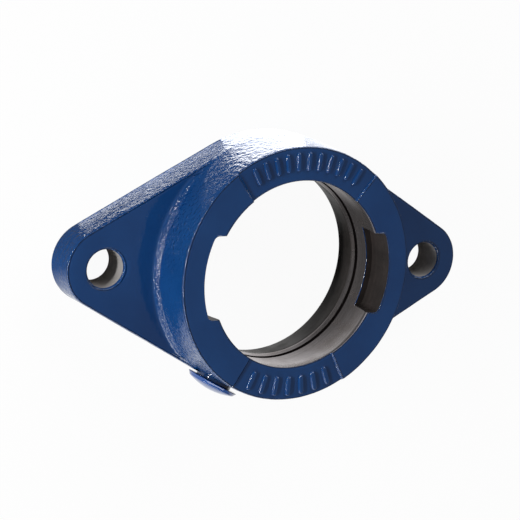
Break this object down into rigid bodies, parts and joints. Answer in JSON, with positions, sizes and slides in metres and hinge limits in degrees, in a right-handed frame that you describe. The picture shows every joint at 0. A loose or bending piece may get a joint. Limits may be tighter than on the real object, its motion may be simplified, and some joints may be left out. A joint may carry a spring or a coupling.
{
  "type": "two-bolt oval flange bearing housing",
  "caption": "Oval flange housing for a self-aligning insert bearing: spherical seat with loading slots and a grease groove, bolt ears on both sides, and a plugged lubrication port.",
  "frame": {"origin": "on the mounting face, midway between the two bolt holes, on the bore axis", "axes": "+X along the line of the two bolt holes, +Y across the flange, +Z along the bore from the mounting face to the front face"},
  "size_m": [0.143, 0.0842, 0.028],
  "materials": {
    "blue_paint": "gloss enamel over rough cast iron, bare machined seat and bolt holes",
    "plug_plastic": "gloss moulded plastic"
  },
  "bodies": {
    "root": {"housing": "blue_paint", "port_plug": "plug_plastic"}
  },
  "joints": []
}
